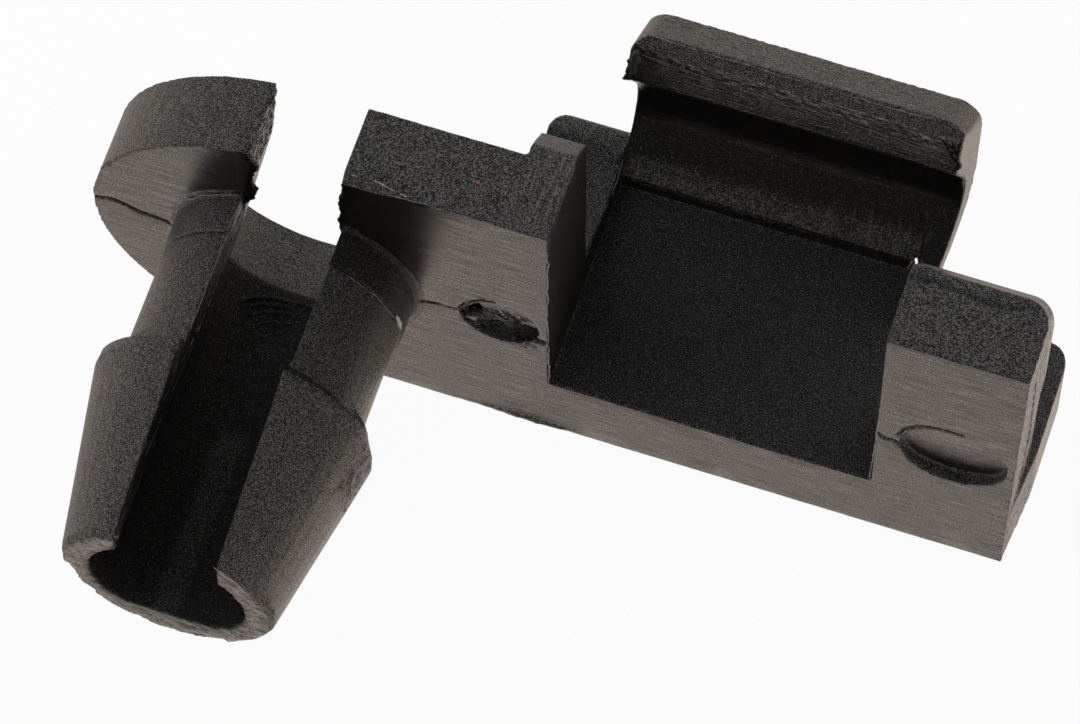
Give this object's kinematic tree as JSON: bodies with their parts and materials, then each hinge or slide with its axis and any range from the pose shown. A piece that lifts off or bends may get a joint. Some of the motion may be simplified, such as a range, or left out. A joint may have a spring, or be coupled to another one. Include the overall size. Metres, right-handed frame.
{
  "type": "door lock rod clip",
  "caption": "One-piece plastic clip that joins a door lock rod to a lever: hollow slotted barbed stud, flat plate, rod shelf and a sprung latch that hooks over the rod.",
  "frame": {"origin": "on the stud's axis, in the front face of the plate", "axes": "+X along the plate away from the stud, +Y behind the plate where the rod lies, +Z the side that the stud's slot and the latch open to"},
  "size_m": [0.0237, 0.017, 0.0106],
  "materials": {
    "clip_plastic": "black moulded plastic, spark-eroded grain on most faces, fine brushed lines on the front face"
  },
  "bodies": {
    "root": {"rod_clip": "clip_plastic"}
  },
  "joints": []
}
